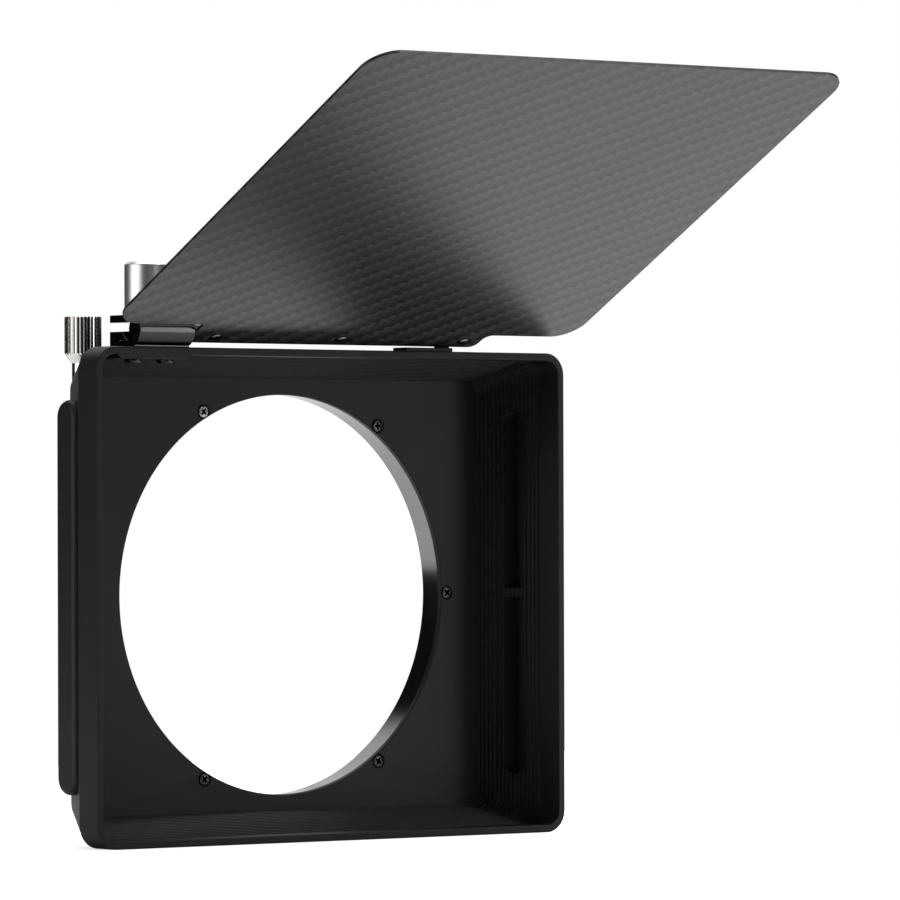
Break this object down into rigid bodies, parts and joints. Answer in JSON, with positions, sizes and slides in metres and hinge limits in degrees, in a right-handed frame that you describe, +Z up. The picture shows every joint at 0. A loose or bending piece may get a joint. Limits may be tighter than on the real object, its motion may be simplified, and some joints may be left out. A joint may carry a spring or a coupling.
{
  "type": "matte box",
  "caption": "Matte box with a deep stepped hood, a split lens clamp ring with thumbscrew, an accessory clamp and a hinged carbon top flag.",
  "frame": {"origin": "on the lens axis at the rear face of the clamp ring", "axes": "+Y along the lens axis toward the camera, +Z up, +X to the right as seen from in front of the hood; the hood opens toward -Y"},
  "size_m": [0.2077, 0.2062, 0.2674],
  "materials": {
    "hood_black": "matte black coating",
    "ring_black": "satin black anodised",
    "bracket_black": "satin black anodised",
    "dark_steel": "blackened",
    "steel": "plain",
    "satin_silver": "satin silver",
    "carbon": "woven carbon fibre sheet, matte"
  },
  "bodies": {
    "hood_body": {"hood": "hood_black", "clamp_ring": "ring_black", "accessory_block": "bracket_black", "hinge_bracket_left": "bracket_black", "hinge_bracket_right": "bracket_black", "ring_screw_1": "dark_steel", "ring_screw_2": "dark_steel", "ring_screw_3": "steel", "ring_screw_4": "dark_steel", "ring_screw_5": "dark_steel", "accessory_screw_1": "dark_steel", "left_bracket_screw_1": "dark_steel", "right_bracket_screw_1": "dark_steel", "accessory_screw_2": "dark_steel", "left_bracket_screw_2": "dark_steel", "right_bracket_screw_2": "dark_steel"},
    "thumbscrew": {"clamp_thumbscrew": "satin_silver"},
    "knob": {"accessory_knob": "satin_silver", "accessory_stud": "steel"},
    "flag": {"flag_rod": "bracket_black", "flag_plate": "carbon", "flag_screw_1": "dark_steel", "flag_screw_2": "dark_steel", "flag_screw_3": "dark_steel"}
  },
  "joints": [
    {"name": "flag_hinge", "type": "hinge", "parent": "hood_body", "child": "flag", "pos_m": [0, -0.0399, 0.0932], "axis": [-1, 0, 0], "range_deg": [-37, 78]},
    {"name": "clamp_screw", "type": "hinge", "parent": "hood_body", "child": "thumbscrew", "pos_m": [-0.0821, -0.0045, 0.09], "axis": [0, 0, 1], "range_deg": [-720, 360]},
    {"name": "knob_turn", "type": "hinge", "parent": "hood_body", "child": "knob", "pos_m": [-0.0539, -0.0029, 0.108], "axis": [0, 0, 1], "range_deg": [-720, 360]}
  ]
}
